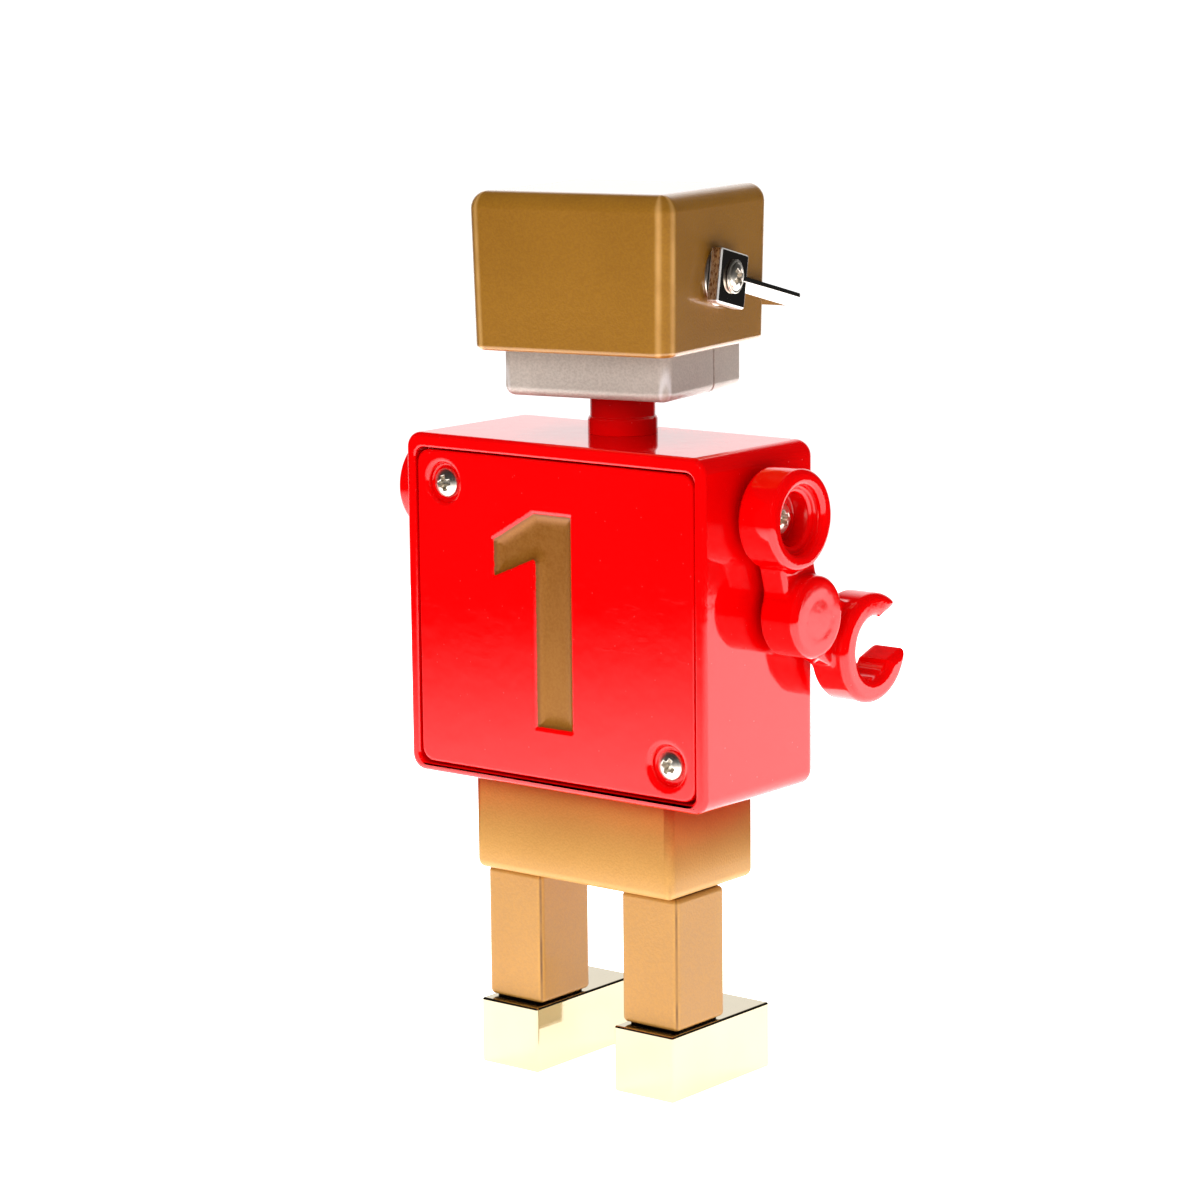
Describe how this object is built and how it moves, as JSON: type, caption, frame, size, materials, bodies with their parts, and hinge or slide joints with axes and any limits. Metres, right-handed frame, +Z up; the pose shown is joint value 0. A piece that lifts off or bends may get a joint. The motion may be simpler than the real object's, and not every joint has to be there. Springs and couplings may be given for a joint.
{
  "type": "toy robot",
  "caption": "Square-bodied toy robot with a numbered screw-on back cover, swivelling head, tilting visor and two claw arms that turn at the shoulder.",
  "frame": {"origin": "middle of the bounding box, on the floor under the soles", "axes": "+Z up, the robot faces -Y, its right hand is at -X"},
  "size_m": [0.076, 0.0482, 0.1431],
  "materials": {
    "red_enamel": "glossy red enamel",
    "gold_head": "satin gold metallic paint",
    "pale_gold": "satin pale gold metallic paint",
    "silver_chin": "satin silver",
    "chrome": "mirror chrome plate",
    "screw_steel": "bright plated screw",
    "zinc_steel": "zinc plated steel",
    "eye_glass": "smoked lens"
  },
  "bodies": {
    "body": {"torso_shell": "red_enamel", "back_cover": "red_enamel", "neck_tube": "red_enamel", "pelvis_block": "pale_gold", "leg_right": "pale_gold", "leg_left": "pale_gold", "foot_right": "chrome", "foot_left": "chrome", "cover_screw_upper": "screw_steel", "cover_screw_lower": "screw_steel", "shoulder_screw_right": "screw_steel", "shoulder_screw_left": "screw_steel", "neck_nut": "zinc_steel", "pelvis_screw_right": "zinc_steel", "pelvis_screw_left": "zinc_steel", "leg_bolt_right": "zinc_steel", "leg_bolt_left": "zinc_steel", "shoulder_nut_right": "zinc_steel", "shoulder_nut_left": "zinc_steel", "shoulder_washer_right": "zinc_steel", "shoulder_washer_left": "zinc_steel"},
    "head": {"head_shell": "gold_head", "chin_rear": "silver_chin", "chin_front": "silver_chin", "chin_screw_rear_right": "zinc_steel", "chin_screw_rear_left": "zinc_steel", "chin_screw_front_right": "zinc_steel", "chin_screw_front_left": "zinc_steel", "eye_bezel_right": "chrome", "eye_bezel_left": "chrome", "eye_lens_right": "eye_glass", "eye_lens_left": "eye_glass", "ear_washer_right": "chrome", "ear_washer_left": "chrome", "ear_screw_right": "screw_steel", "ear_screw_left": "screw_steel"},
    "visor": {"visor_band": "chrome"},
    "arm_right": {"arm_right": "red_enamel"},
    "arm_left": {"arm_left": "red_enamel"}
  },
  "joints": [
    {"name": "head_swivel", "type": "hinge", "parent": "body", "child": "head", "pos_m": [0, 0.00341, 0.111], "axis": [0, 0, 1], "continuous": true},
    {"name": "visor_tilt", "type": "hinge", "parent": "head", "child": "visor", "pos_m": [-0.00028, 0.00498, 0.12956], "axis": [-0.9842, -0.1771, 0], "range_deg": [-30, 110]},
    {"name": "shoulder_right", "type": "hinge", "parent": "body", "child": "arm_right", "pos_m": [-0.0345, 0.00711, 0.09356], "axis": [-1, 0, 0], "continuous": true},
    {"name": "shoulder_left", "type": "hinge", "parent": "body", "child": "arm_left", "pos_m": [0.0345, 0.00711, 0.09356], "axis": [-1, 0, 0], "continuous": true}
  ]
}
